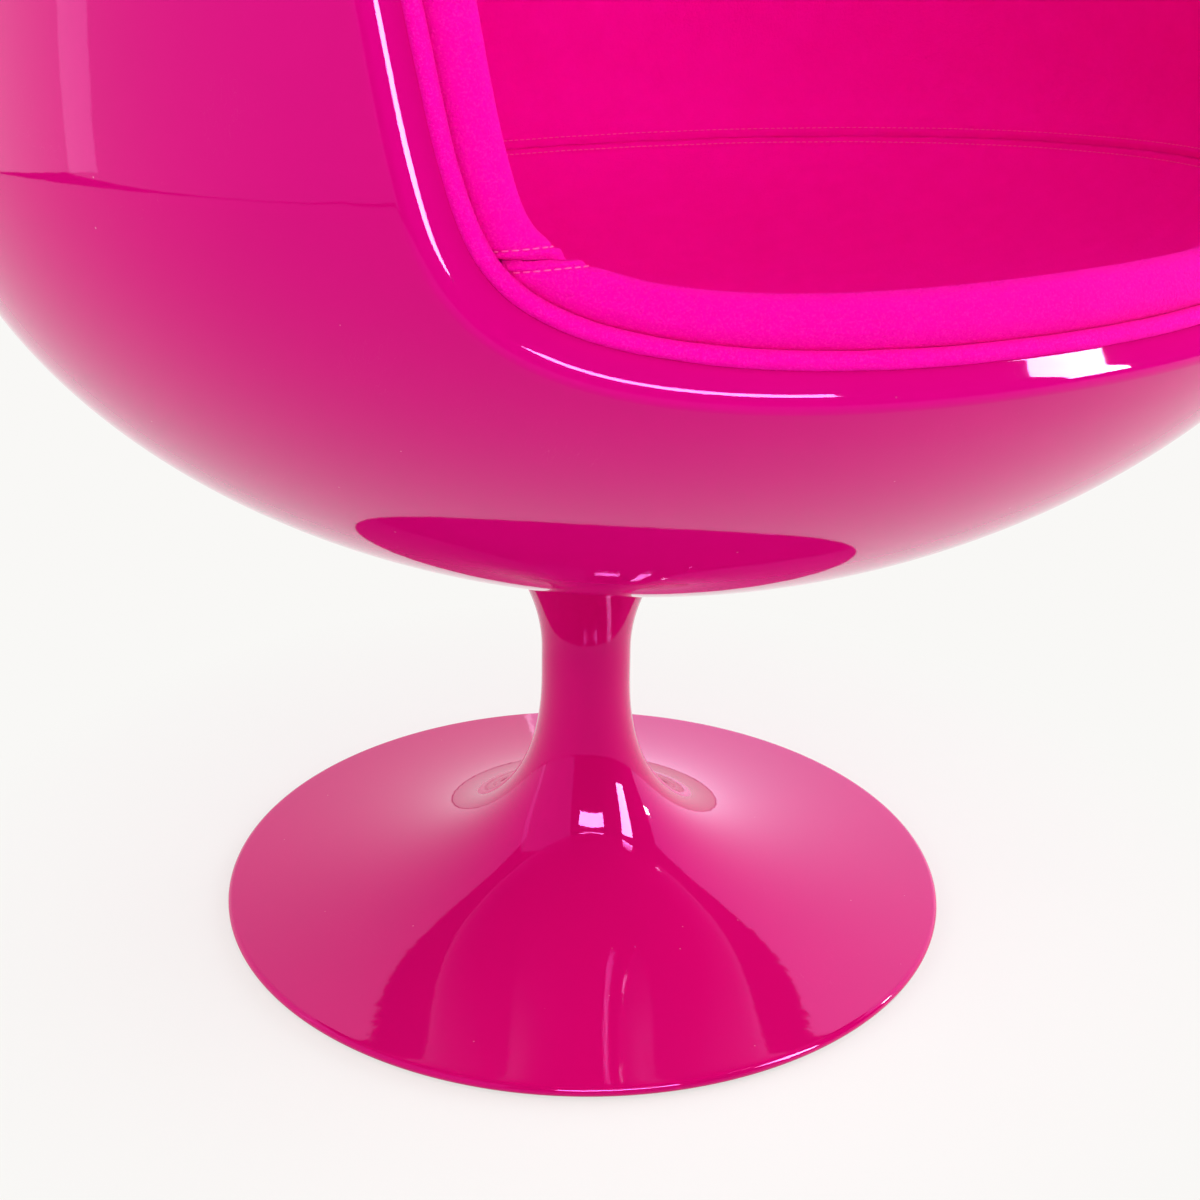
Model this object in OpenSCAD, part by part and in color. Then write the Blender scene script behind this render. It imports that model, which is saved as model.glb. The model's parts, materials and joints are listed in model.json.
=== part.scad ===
// Swivel lounge chair: an egg-shaped moulded shell with a turned-in lip, an
// upholstered bowl inside it, and a one-piece trumpet pedestal that it turns on.
// Origin on the floor under the swivel axis, +Z up, the chair faces -Y.

/* [Shell] */
// Overall width of the shell at its widest level
shell_w = 830; // [780:1:900]
// Height of the widest level above the floor
wide_z = 588; // [560:1:620]
// How far the shell's middle sits ahead of the swivel axis
shell_ahead = 87; // [40:1:120]
// Backward lean of the shell's own axis, degrees
shell_lean = 7; // [0:0.5:12]
// Depth of the shell below its widest level
egg_low = 287; // [270:1:300]
// Height of the shell above its widest level
egg_high = 687; // [640:1:720]
// Roundness exponent of the lower half
low_power = 1.88; // [1.7:0.01:2.3]
// Roundness exponent of the upper half
high_power = 2; // [1.8:0.01:2.4]
// Thickness of the moulded wall
shell_t = 6; // [4:0.5:8]

/* [Opening] */
// Width of the opening at its widest level
open_w = 597; // [540:1:620]
// Height of the opening's widest level above the shell's
open_mid = 128; // [100:1:150]
// Reach of the opening below its own widest level
open_low = 238; // [210:1:245]
// Reach of the opening above its own widest level
open_high = 450; // [400:1:480]
// Squareness of the lower corners across
corner_power_x = 3.54; // [2.5:0.01:4.5]
// Squareness of the lower corners along
corner_power_w = 6.52; // [3:0.01:8]
// Roundness exponent of the opening's crown
crown_power = 2.2; // [2:0.01:2.6]
// Share by which the opening narrows towards its sill
taper_share = 0.06; // [0:0.01:0.1]
// Width of the turned-in lip's flat
lip_w = 12; // [8:0.5:16]
// Extra lip width in the lower corners
lip_corner_w = 4; // [0:0.5:5]
// Thickness of the lip
lip_t = 5; // [3:0.5:6]
// How far the lip turns in from the shell's skin, degrees
lip_turn = 50; // [40:1:60]
// Radius of the rounded edge between skin and lip
edge_r = 5; // [3:0.5:7]

/* [Lining] */
// Thickness of the padding on the shell's sides and back
pad_t = 52; // [44:1:58]
// Depth of the seat bowl below the shell's widest level
bowl_depth = 135; // [120:1:150]
// Roundness exponent of the seat bowl
bowl_power = 2.8; // [2:0.01:3.4]
// Drop of the seat seam below the shell's widest level, at the back
seam_drop = 63.5; // [55:0.5:75]
// Slope of the seat seam up towards the opening's lower corners
seam_rise_share = 0.114; // [0.08:0.001:0.15]
// Diameter of the piping beside the lip
welt_d = 9; // [7:0.5:10]
// How far the piping stands proud of the lip's flat
welt_proud = 1.2; // [0:0.1:2]
// Gap between lip and piping
welt_gap = 0.6; // [0.4:0.1:1.5]
// Width of the crowned band beside the piping
band_w = 23; // [19:0.5:26]
// Crown of the band over the lip's flat
band_crown = 4.6; // [2:0.1:6]

/* [Pedestal] */
// Diameter of the foot disc
base_d = 510; // [470:1:560]
// Height of the foot disc's upper edge
base_edge_z = 9; // [8:0.5:12]
// Rise of the foot disc's cone from the rim inwards
base_rise = 14; // [8:0.5:20]
// Diameter of the stem at its waist
neck_d = 61.6; // [56:0.1:70]
// Height at which the foot's flare ends, as a share of the stem's height
waist_low_share = 0.573; // [0.5:0.001:0.6]
// Height at which the head's flare begins, as a share of the stem's height
waist_high_share = 0.64; // [0.61:0.001:0.7]
// Diameter of the stem's flared head
head_d = 168; // [156:1:180]
// Share exponent of the foot's flare
flare_power = 0.47; // [0.42:0.01:0.6]
// Wall of the hollow casting
cast_t = 6; // [5:0.5:8]
// Thickness of the floor pad
pad_h = 3; // [2:0.5:4]

/* [Swivel] */
// Diameter of the swivel shaft
shaft_d = 28; // [24:1:30]
// Running clearance of the shaft in its bushes, on the radius
run_gap = 0.05; // [0.03:0.01:0.1]
// Wall of each bush
bush_t = 3; // [2:0.5:4]
// Length of each bush
bush_l = 30; // [20:1:40]
// Wall of the steel column sleeve
sleeve_t = 5; // [3:0.5:6]
// Diameter of the shaft's head flange
flange_d = 120; // [110:1:124]
// Thickness of the head flange
flange_t = 8; // [6:0.5:10]
// Gap between the stem's head and the shell's flat boss
head_gap = 2.5; // [1.5:0.5:4]
// Diameter of the flange bolts
bolt_d = 10; // [8:1:12]
// Circle that the flange bolts lie on
bolt_circle_d = 88; // [80:1:94]
// Thickness of the clamping plate inside the shell
plate_t = 6; // [4:0.5:8]
// Thickness of the seat board
board_t = 15; // [12:1:18]
// Drop of the seat board's top below the shell's widest level
board_drop = 178; // [174:1:186]

/* [Hidden] */
$fn = 96;

// counts of facets: round the opening, from pole to edge, inside, round the lining
around = 96;
outer_rings = 22;
inner_rings = 16;
lining_around = 60;
lining_rings = 12;
backing_rings = 4;
halvings = 26;
// small running values: soft clearance, overrun of cuts, step for slopes
soft_gap = 0.3;
over = 1;
slope_share = 0.0005;
// the flange bolts' hole clearance on the radius, washers and heads
hole_gap = 0.3;
washer_t = 2;
washer_wall = 5;
head_h = 6.4;
bolt_count = 4;
hex_share = 1.96;
nut_share = 1.73;
hex_sides = 6;
// the flat moulded boss under the shell, as wide as the stem's head
boss_drop = 4.3;
boss_margin = 2;
race_t = 4;
race_gap = 2;
race_wall = 16;
// the end of the shaft under its lower bush
end_washer_t = 3;
end_nut_t = 12;
end_margin = 6;
thread_d = 20;
end_tail = 3;
// the floor pad stands proud of the casting's edge, whose corners are rounded
edge_lift = 2;
cover_t = 2;
cover_gap = 0.5;
land_w = 12;
ballast_in_r = 50;
ballast_out_r = 132;
ballast_t = 10;
hub_wall = 12;
hub_z = 30;
lower_bush_z = 70;
// the riser ring under the seat board
riser_r = 118;
riser_wall = 18;
board_gap = 0.3;

half_w = shell_w / 2;
board_z = wide_z - board_drop;
// how far a flat facet inside the shell may lie inboard of the true curve, from
// the angle that the rings are swept through
facet_turn = 127;
facet_sag = half_w * (1 - cos(facet_turn / inner_rings));
// the eye that the moulded surfaces are swept round: above the widest level
eye_share = 0.22;
eye = [0, 0, egg_high * eye_share];
far = egg_low + egg_high;
thick = shell_t + pad_t;

// radius of a shell-like surface at height w: half width r, depth lo, height hi
function lame(w, r, lo, hi, plo) =
    let (p = w < 0 ? plo : high_power, h = abs(w) / (w < 0 ? lo : hi))
    h >= 1 ? 0 : r * pow(1 - pow(h, p), 1 / p);

// surfaces: [half width, depth, height, lower exponent]
skin = [half_w, egg_low, egg_high, low_power];
function inset(t) = [half_w - t, egg_low - t, egg_high - t, low_power];
bowl = [half_w - thick, bowl_depth, egg_high - thick, bowl_power];
function rad(w, s) = lame(w, s[0], s[1], s[2], s[3]);

// where the line from the eye along d leaves the surface s
function reach(d, s, lo, hi, n) =
    let (m = (lo + hi) / 2, p = eye + m * d)
    n == 0 ? p
    : norm([p[0], p[1]]) < rad(p[2], s) ? reach(d, s, m, hi, n - 1) : reach(d, s, lo, m, n - 1);

// the opening's outline seen from the front: a boxy lower half under an arch
function mouth_r(a, lo, hi, n) =
    let (m = (lo + hi) / 2, low = sin(a) < 0,
        fx = pow(abs(m * cos(a)) / (open_w / 2), low ? corner_power_x : crown_power),
        fw = pow(abs(m * sin(a)) / (low ? open_low : open_high), low ? corner_power_w : crown_power))
    n == 0 ? m : fx + fw < 1 ? mouth_r(a, m, hi, n - 1) : mouth_r(a, lo, m, n - 1);
function mouth(a) =
    let (r = mouth_r(a, 0, far, halvings), w = open_mid + r * sin(a),
        x = r * cos(a) * (1 + taper_share * min(0, r * sin(a)) / open_low),
        q = rad(w, skin))
    [x, -sqrt(max(0, q * q - x * x)), w];

// outward normal of the skin at p
function unit(v) = v / norm(v);
function skin_normal(p) =
    let (e = egg_low * slope_share,
        s = (rad(p[2] + e, skin) - rad(p[2] - e, skin)) / (2 * e),
        q = norm([p[0], p[1]]))
    unit([p[0] / q, p[1] / q, -s]);

// angles round the opening from the middle of its sill, closer together at the corners
sill_angle = 270;
bunch_share = 0.45;
function spread(i, n) =
    let (f = 360 * i / n - 180)
    sill_angle + f + bunch_share / 3 * sin(3 * f) * 180 / PI;

// how much of the extra corner width applies at angle a
corner_at = 54;
corner_span = 26;
function off_corner(a) =
    min(abs(abs(a - sill_angle) - corner_at), abs(abs(a + 360 - sill_angle) - corner_at));
function corner_share(a) = exp(-pow(off_corner(a) / corner_span, 2));

// frame on the opening's edge: point, direction into the opening, outward normal, corner share
slope_step = 0.05;
function edge_frame(a) =
    let (p = mouth(a), n = skin_normal(p),
        t = unit(mouth(a + slope_step) - mouth(a - slope_step)))
    [p, unit(cross(n, t)), n, corner_share(a)];
// u along the skin into the opening, d below the skin
function at_edge(f, u, d) = f[0] + u * f[1] - d * f[2];
// a along the lip's flat, h proud of it
function on_lip(f, a, h) =
    at_edge(f, a * cos(lip_turn) + h * sin(lip_turn), a * sin(lip_turn) - h * cos(lip_turn));
function lip_at(f) = lip_w + lip_corner_w * f[3];

// direction from the eye at a share of the way from the back pole to the edge
function sweep_dir(f, share) =
    let (d = unit(f[0] - eye), phi = acos(d[1]), e = unit([d[0], 0, d[2]]),
        g = share * phi)
    [e[0] * sin(g), cos(g), e[2] * sin(g)];
function sweep_pt(f, share, s) = reach(sweep_dir(f, share), s, 0, far, halvings);
function pole(s) = reach([0, 1, 0], s, 0, far, halvings);

// the same, stopped at the seat board's top, which lies level in the room
function over_board(p) =
    wide_z + p[2] * cos(shell_lean) - p[1] * sin(shell_lean) - board_z - board_gap;
function stop_at_board(p) =
    over_board(p) >= 0 ? p : eye + (p - eye) * over_board(eye) / (over_board(eye) - over_board(p));

// closed skin through a first pole, rings of equal count and a last pole
module lofted(first, rings, last) {
    n = len(rings[0]);
    k = len(rings);
    points = concat([first], [for (r = rings) each r], [last]);
    faces = concat(
        [for (i = [0 : n - 1]) [0, 1 + i, 1 + (i + 1) % n]],
        [for (j = [0 : k - 2], i = [0 : n - 1]) [1 + j * n + i, 1 + (j + 1) * n + (i + 1) % n,
            1 + j * n + (i + 1) % n]],
        [for (j = [0 : k - 2], i = [0 : n - 1]) [1 + j * n + i, 1 + (j + 1) * n + i,
            1 + (j + 1) * n + (i + 1) % n]],
        [for (i = [0 : n - 1]) [1 + k * n, 1 + (k - 1) * n + (i + 1) % n, 1 + (k - 1) * n + i]]);
    polyhedron(points = points, faces = faces, convexity = 6);
}

// closed tube through rings of a loop
module looped(rings) {
    n = len(rings[0]);
    k = len(rings);
    polyhedron(points = [for (r = rings) each r],
        faces = [for (j = [0 : k - 1], i = [0 : n - 1]) each [
            [j * n + i, ((j + 1) % k) * n + (i + 1) % n, j * n + (i + 1) % n],
            [j * n + i, ((j + 1) % k) * n + i, ((j + 1) % k) * n + (i + 1) % n]]],
        convexity = 4);
}

// the shell's own frame: its middle, leaning back
module in_shell() {
    translate([0, -shell_ahead, wide_z]) rotate([-shell_lean, 0, 0]) children();
}

// solid egg of surface s, turned about its own axis
egg_steps = 48;
module egg(s) {
    rotate_extrude() polygon([for (i = [0 : egg_steps])
        let (g = -90 + 180 * i / egg_steps, w = (g < 0 ? s[1] : s[2]) * sin(g))
        [i == 0 || i == egg_steps ? 0 : rad(w, s), w]]);
}

// height of surface s over a point y behind the swivel axis
function under_z(y, s, lo, hi, n) =
    let (z = (lo + hi) / 2, y1 = shell_ahead + y, z1 = z - wide_z,
        v = y1 * cos(shell_lean) - z1 * sin(shell_lean),
        w = z1 * cos(shell_lean) + y1 * sin(shell_lean))
    n == 0 ? z : abs(v) < rad(w, s) ? under_z(y, s, lo, z, n - 1) : under_z(y, s, z, hi, n - 1);
function surface_z(y, s) = under_z(y, s, wide_z - far, wide_z, halvings);
boss_z = surface_z(0, skin) - boss_drop;
boss_t = surface_z(flange_d / 2, inset(shell_t + facet_sag)) + boss_margin - boss_z;
flange_z = boss_z - flange_t;
recess_z = flange_z - 2 * race_t;
head_z = boss_z - head_gap;
plate_z = boss_z + boss_t;
waist_low_z = head_z * waist_low_share;
waist_high_z = head_z * waist_high_share;

// lip section: rounded edge, flat, and the return to the wall's inner face
edge_start = edge_r * tan(lip_turn / 2);
edge_steps = 5;
lip_round_share = 0.12;
lip_end_share = 0.24;
shell_frames = [for (i = [0 : around - 1]) edge_frame(spread(i, around))];
lip_rings = [
    for (k = [0 : edge_steps]) let (g = lip_turn * k / edge_steps)
        [for (f = shell_frames) at_edge(f, edge_r * sin(g) - edge_start, edge_r * (1 - cos(g)))],
    [for (f = shell_frames) on_lip(f, lip_at(f) * (1 - lip_round_share), 0)],
    [for (f = shell_frames) on_lip(f, lip_at(f), -lip_t * lip_end_share)],
    [for (f = shell_frames) on_lip(f, lip_at(f), -lip_t)],
    [for (f = shell_frames) at_edge(f, (shell_t * cos(lip_turn) - lip_t) / sin(lip_turn), shell_t)]];

module shell_solid() {
    lofted(pole(skin), concat(
        [for (j = [1 : outer_rings - 1]) [for (f = shell_frames) sweep_pt(f, j / outer_rings, skin)]],
        lip_rings,
        [for (j = [inner_rings - 1 : -1 : 1]) [for (f = shell_frames)
            sweep_pt(f, j / inner_rings, inset(shell_t))]]), pole(inset(shell_t)));
}

module outer_shell() {
    color([0.84, 0.05, 0.47]) difference() {
        union() {
            in_shell() shell_solid();
            translate([0, 0, boss_z]) cylinder(d = head_d, h = boss_t);
        }
        at_bolts() translate([0, 0, boss_z - over])
            cylinder(r = bolt_d / 2 + hole_gap, h = boss_t + 2 * over);
    }
}

// padding: bowl surface, rolled band beside the piping, and the back against the shell
// the band's section as shares: of its width along the flat, of its crown above it
band_shares = [[1.2, -1.75], [1.18, -0.5], [1.05, 0.55], [0.86, 1], [0.6, 1], [0.32, 0.7],
    [0.03, -0.9]];
function band_at(f) = lip_at(f) + welt_gap + welt_d + soft_gap;
function band_end(f) = lip_w + welt_gap + welt_d + soft_gap + band_w;
function band_pt(f, q) =
    on_lip(f, band_at(f) + (band_end(f) - band_at(f)) * q[0], band_crown * q[1]);
// where the bowl's swept surface gives way to the roll, as a share of the way
roll_share = 0.915;
lining_frames = [for (i = [0 : lining_around - 1]) edge_frame(spread(i, lining_around))];
lining_back = inset(shell_t + soft_gap + facet_sag);
module lining_solid() {
    f0 = lining_frames;
    lofted(pole(bowl), concat(
        [for (j = [1 : lining_rings]) [for (f = f0) sweep_pt(f, roll_share * j / lining_rings, bowl)]],
        [for (q = band_shares) [for (f = f0) band_pt(f, q)]],
        [[for (f = f0) on_lip(f, band_at(f), -welt_d - lip_t)],
            [for (f = f0) at_edge(f, -2 * lip_w, shell_t + soft_gap + facet_sag)]],
        [for (j = [backing_rings - 1 : -1 : 1]) [for (f = f0)
            stop_at_board(sweep_pt(f, j / backing_rings * roll_share, lining_back))]]),
        pole(lining_back));
}

// everything above the seat seam: level round the back, rising to the lower corners
seam_turn_share = 0.25;
module above_seam(lift) {
    turn = -half_w * seam_turn_share;
    top = 2 * egg_high;
    translate([-shell_w, 0, lift - seam_drop]) rotate([90, 0, 90]) linear_extrude(2 * shell_w)
        polygon([[shell_w, 0], [turn, 0], [-shell_w, (shell_w + turn) * seam_rise_share],
            [-shell_w, top], [shell_w, top]]);
}

module back_lining() {
    color([0.93, 0.02, 0.55]) in_shell() intersection() {
        lining_solid();
        above_seam(soft_gap / 2);
    }
}

module seat_lining() {
    color([0.93, 0.02, 0.55]) in_shell() difference() {
        lining_solid();
        above_seam(-soft_gap / 2);
    }
}

welt_sides = 8;
module rim_welt() {
    color([0.95, 0.03, 0.58]) in_shell() looped([for (f = shell_frames)
        let (c = lip_at(f) + welt_gap + welt_d / 2, h = welt_proud - welt_d / 2)
        [for (k = [0 : welt_sides - 1]) let (g = 360 * k / welt_sides)
            on_lip(f, c + welt_d / 2 * cos(g), h + welt_d / 2 * sin(g))]]);
}

module seat_board() {
    color([0.78, 0.62, 0.42]) intersection() {
        in_shell() egg(inset(shell_t + board_gap + facet_sag));
        translate([-shell_w, -shell_w - shell_ahead, board_z - board_t])
            cube([2 * shell_w, 2 * shell_w, board_t]);
    }
}

module seat_riser() {
    color([0.72, 0.56, 0.38]) intersection() {
        in_shell() egg(inset(shell_t + board_gap + facet_sag));
        translate([0, 0, boss_z]) difference() {
            cylinder(r = riser_r, h = board_z - board_t - boss_z);
            translate([0, 0, -over]) cylinder(r = riser_r - riser_wall, h = board_z - boss_z);
        }
    }
}

// the bolt circle
module at_bolts() {
    for (i = [0 : bolt_count - 1]) at_bolt(i) children();
}
module at_bolt(i) {
    rotate([0, 0, 45 + 360 * i / bolt_count]) translate([bolt_circle_d / 2, 0, 0]) children();
}

module hub_plate() {
    color([0.6, 0.61, 0.63]) difference() {
        translate([0, 0, plate_z]) cylinder(d = flange_d, h = plate_t);
        at_bolts() translate([0, 0, plate_z - over])
            cylinder(r = bolt_d / 2 + hole_gap, h = plate_t + 2 * over);
    }
}

module hub_bolt(i) {
    top = plate_z + plate_t + washer_t;
    color([0.66, 0.67, 0.69]) at_bolt(i) {
        translate([0, 0, flange_z]) cylinder(d = bolt_d, h = top - flange_z + head_h / 2);
        translate([0, 0, top]) cylinder(r = bolt_d / 2 * hex_share, h = head_h, $fn = hex_sides);
    }
}

module hub_washer(i) {
    color([0.7, 0.71, 0.73]) at_bolt(i) translate([0, 0, plate_z + plate_t]) difference() {
        cylinder(r = bolt_d / 2 + washer_wall, h = washer_t);
        translate([0, 0, -over]) cylinder(r = bolt_d / 2 + hole_gap, h = washer_t + 2 * over);
    }
}

// heights on the shaft, from the head flange down
shaft_end_z = lower_bush_z - end_washer_t - end_nut_t - end_tail;
module spindle() {
    color([0.55, 0.56, 0.58]) difference() {
        union() {
            translate([0, 0, flange_z]) cylinder(d = flange_d, h = flange_t);
            translate([0, 0, lower_bush_z]) cylinder(d = shaft_d, h = flange_z - lower_bush_z);
            translate([0, 0, shaft_end_z]) cylinder(d = thread_d, h = lower_bush_z - shaft_end_z);
        }
        at_bolts() translate([0, 0, flange_z - over]) cylinder(d = bolt_d, h = flange_t + 2 * over);
    }
}

race_in_d = shaft_d + 2 * race_gap;
module race(z, gap) {
    translate([0, 0, z]) difference() {
        cylinder(d = race_in_d + 2 * race_wall, h = race_t - gap);
        translate([0, 0, -over]) cylinder(d = race_in_d, h = race_t + 2 * over);
    }
}
module upper_race() {
    color([0.62, 0.63, 0.65]) race(flange_z - race_t, 0);
}
module lower_race() {
    color([0.72, 0.55, 0.28]) race(recess_z, run_gap);
}

module end_washer() {
    color([0.66, 0.67, 0.69]) translate([0, 0, lower_bush_z - end_washer_t]) difference() {
        cylinder(r = shaft_d / 2 + end_margin, h = end_washer_t - run_gap);
        translate([0, 0, -over]) cylinder(r = thread_d / 2 + hole_gap, h = end_washer_t + 2 * over);
    }
}
module end_nut() {
    color([0.66, 0.67, 0.69]) translate([0, 0, lower_bush_z - end_washer_t - end_nut_t]) difference() {
        cylinder(r = thread_d / 2 * nut_share, h = end_nut_t, $fn = hex_sides);
        translate([0, 0, -over]) cylinder(d = thread_d, h = end_nut_t + 2 * over);
    }
}

// bushes in the column sleeve
bush_d = shaft_d + 2 * run_gap + 2 * bush_t;
sleeve_d = bush_d + 2 * sleeve_t;
module bush(z) {
    color([0.82, 0.8, 0.74]) translate([0, 0, z]) difference() {
        cylinder(d = bush_d, h = bush_l);
        translate([0, 0, -over]) cylinder(r = shaft_d / 2 + run_gap, h = bush_l + 2 * over);
    }
}
module upper_bush() {
    bush(recess_z - bush_l);
}
module lower_bush() {
    bush(lower_bush_z);
}
module column_sleeve() {
    color([0.5, 0.51, 0.53]) translate([0, 0, lower_bush_z]) difference() {
        cylinder(d = sleeve_d, h = recess_z - lower_bush_z);
        translate([0, 0, -over]) cylinder(d = bush_d, h = recess_z - lower_bush_z + 2 * over);
    }
}

// the pedestal's outer profile: foot cone, flare, waist, flared head
neck_r = neck_d / 2;
edge_h = (base_edge_z - edge_lift) / 2;
foot_r = base_d / 2 - edge_h;
function flare_z(r) =
    let (q = max(0, min(1, (r - neck_r) / (foot_r - neck_r))))
    base_edge_z + base_rise * (1 - q)
        + (waist_low_z - base_edge_z - base_rise) * pow(1 - pow(q, flare_power), 1 / flare_power);
flare_steps = 34;
step_power = 1.9;
head_steps = 12;
function head_r(z) =
    neck_r + (head_d / 2 - neck_r) * pow(max(0, (z - waist_high_z) / (head_z - waist_high_z)), 2);
outer_profile = concat(
    [for (i = [0 : flare_steps]) let (q = pow(1 - i / flare_steps, step_power),
        r = neck_r + (foot_r - neck_r) * q) [r, flare_z(r)]],
    [for (i = [0 : head_steps]) let (z = waist_high_z + (head_z - waist_high_z) * i / head_steps)
        [head_r(z), z]]);
hollow_r = base_d / 2 - base_edge_z;
hub_r = sleeve_d / 2 + hub_wall;
hollow_steps = 18;
hollow_profile = [for (i = [0 : hollow_steps])
    let (r = hollow_r - land_w + (hub_r - hollow_r + land_w) * i / hollow_steps)
    [r, max(flare_z(r + cast_t) - cast_t, pad_h + cover_t + cover_gap)]];
module pedestal() {
    recess_d = flange_d + 2 * over;
    color([0.84, 0.05, 0.47]) difference() {
        rotate_extrude() union() {
            polygon(concat([[0, base_edge_z]], outer_profile, [[0, head_z]]));
            polygon([[0, edge_lift], [foot_r, edge_lift], [foot_r, base_edge_z], [0, base_edge_z]]);
            translate([foot_r, edge_lift + edge_h]) circle(r = edge_h);
        }
        rotate_extrude() polygon(concat([[hub_r, 0], [hollow_r, 0], [hollow_r, pad_h],
            [hollow_r - land_w, pad_h]], hollow_profile));
        translate([0, 0, recess_z]) cylinder(d = recess_d, h = head_z);
        translate([0, 0, -over]) cylinder(d = sleeve_d, h = head_z);
        translate([0, 0, -over]) cylinder(r = hub_r + over, h = hub_z + over);
    }
}

module ballast_ring() {
    color([0.2, 0.2, 0.21]) translate([0, 0, pad_h + cover_t]) difference() {
        cylinder(r = ballast_out_r, h = ballast_t);
        translate([0, 0, -over]) cylinder(r = ballast_in_r, h = ballast_t + 2 * over);
    }
}
module base_cover() {
    color([0.35, 0.35, 0.37]) translate([0, 0, pad_h])
        cylinder(r = hollow_r - land_w - cover_gap, h = cover_t);
}
module base_pad() {
    color([0.08, 0.08, 0.09]) cylinder(r = hollow_r - cover_gap, h = pad_h);
}

outer_shell();
back_lining();
seat_lining();
rim_welt();
seat_board();
seat_riser();
hub_plate();
hub_bolt(0);  // hub_bolt_1
hub_bolt(1);  // hub_bolt_2
hub_bolt(2);  // hub_bolt_3
hub_bolt(3);  // hub_bolt_4
hub_washer(0);  // hub_washer_1
hub_washer(1);  // hub_washer_2
hub_washer(2);  // hub_washer_3
hub_washer(3);  // hub_washer_4
spindle();
upper_race();
end_washer();
end_nut();
lower_race();
upper_bush();
lower_bush();
column_sleeve();
pedestal();
ballast_ring();
base_cover();
base_pad();
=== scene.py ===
# %% [markdown]
# # A lacquered egg chair on a trumpet foot
# This file dresses a swivel lounge chair: a glossy moulded shell with a turned-in lip, felt
# linings with piping, and a one-piece trumpet foot. The engineering model comes in first as a
# fixed frame. Each piece below is then built in the same coordinates (metres, origin on the
# floor under the swivel axis, the chair faces -Y) and rides on one of the model's two bodies.

# %% The frame
import json
import math
import bmesh
import bpy
import numpy as np
from mathutils import Matrix, Vector
from mathutils.kdtree import KDTree


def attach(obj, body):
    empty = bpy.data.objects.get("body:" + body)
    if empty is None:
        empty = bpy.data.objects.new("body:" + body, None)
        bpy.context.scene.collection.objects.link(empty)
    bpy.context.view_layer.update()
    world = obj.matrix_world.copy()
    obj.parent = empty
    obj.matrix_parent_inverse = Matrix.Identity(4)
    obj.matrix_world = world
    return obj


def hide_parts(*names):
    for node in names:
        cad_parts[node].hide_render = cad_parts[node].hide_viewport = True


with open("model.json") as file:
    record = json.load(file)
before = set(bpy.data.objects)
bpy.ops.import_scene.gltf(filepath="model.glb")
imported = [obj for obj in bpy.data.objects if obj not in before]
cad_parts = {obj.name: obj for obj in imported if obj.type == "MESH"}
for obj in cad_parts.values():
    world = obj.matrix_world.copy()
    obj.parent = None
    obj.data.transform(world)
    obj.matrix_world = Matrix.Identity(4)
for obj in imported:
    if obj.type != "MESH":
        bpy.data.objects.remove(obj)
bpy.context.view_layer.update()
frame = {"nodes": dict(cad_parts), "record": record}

# %% [markdown]
# The shell is an egg in two halves: below its widest level it is blunt, above it is tall. A
# superellipse with one exponent for each half describes both, so a handful of sizes (in
# millimetres, the same as in the engineering source) gives every point of the shell and of the
# bowl inside it. The egg leans back a little, so it has a frame of its own, and room() carries
# points from there into the room.

# %% The egg
SHELL_W, WIDE_Z, AHEAD, LEAN = 830.0, 588.0, 87.0, math.radians(7)
EGG_LOW, EGG_HIGH, LOW_POWER, HIGH_POWER = 287.0, 687.0, 1.88, 2.0
SHELL_T, PAD_T, BOWL_DEPTH, BOWL_POWER = 6.0, 52.0, 135.0, 2.8
MM = 0.001


def egg(inset=0.0, depth=None, power=LOW_POWER):
    """half width, depth, height and lower exponent of a surface that lies inset inside the skin"""
    return SHELL_W / 2 - inset, depth or EGG_LOW - inset, EGG_HIGH - inset, power


def radius(w, s):
    """radius of egg surface s at height w above the widest level"""
    w = np.asarray(w, float)
    power = np.where(w < 0, s[3], HIGH_POWER)
    h = np.clip(np.abs(w) / np.where(w < 0, s[1], s[2]), 0, 1)
    return s[0] * np.clip(1 - h ** power, 0, None) ** (1 / power)


def room(p):
    """from the egg's own frame in millimetres to the room in metres"""
    p = np.asarray(p, float)
    x, v, w = p[..., 0], p[..., 1], p[..., 2]
    c, s = math.cos(LEAN), math.sin(LEAN)
    return np.stack([x, v * c + w * s - AHEAD, w * c - v * s + WIDE_Z], -1) * MM


def unit(v):
    return v / np.linalg.norm(v, axis=-1, keepdims=True)


def egg_normal(p, s):
    """unit normals of egg surface s, from its slope over 0.3 mm of height"""
    slope = (radius(p[..., 2] + 0.15, s) - radius(p[..., 2] - 0.15, s)) / 0.3
    q = np.linalg.norm(p[..., :2], axis=-1)
    return unit(np.stack([p[..., 0] / q, p[..., 1] / q, -slope], -1))


SKIN, BOWL = egg(), egg(SHELL_T + PAD_T, BOWL_DEPTH, BOWL_POWER)
print("egg", 2 * SKIN[0], "wide,", SKIN[1] + SKIN[2], "tall")

# %% [markdown]
# The opening is drawn as seen from the front: a boxy lower half with well-rounded corners under
# an arch. It is then laid on the egg. At every point of that edge stands a small frame: M points
# along the skin into the opening, and N points out of the skin. The rounded edge, the turned-in
# lip, the piping and the padded band are all sections drawn in those frames, which keeps their
# widths true right round the corners.

# %% The opening's edge
OPEN_W, OPEN_MID, OPEN_LOW, OPEN_HIGH = 597.0, 128.0, 238.0, 450.0
CORNER_X, CORNER_W, CROWN, TAPER = 3.54, 6.52, 2.2, 0.06
LIP_W, LIP_CORNER, CORNER_AT, CORNER_SPREAD = 12.0, 4.0, 54.0, 26.0
TURN, LIP_T = math.radians(50), 5.0


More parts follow.
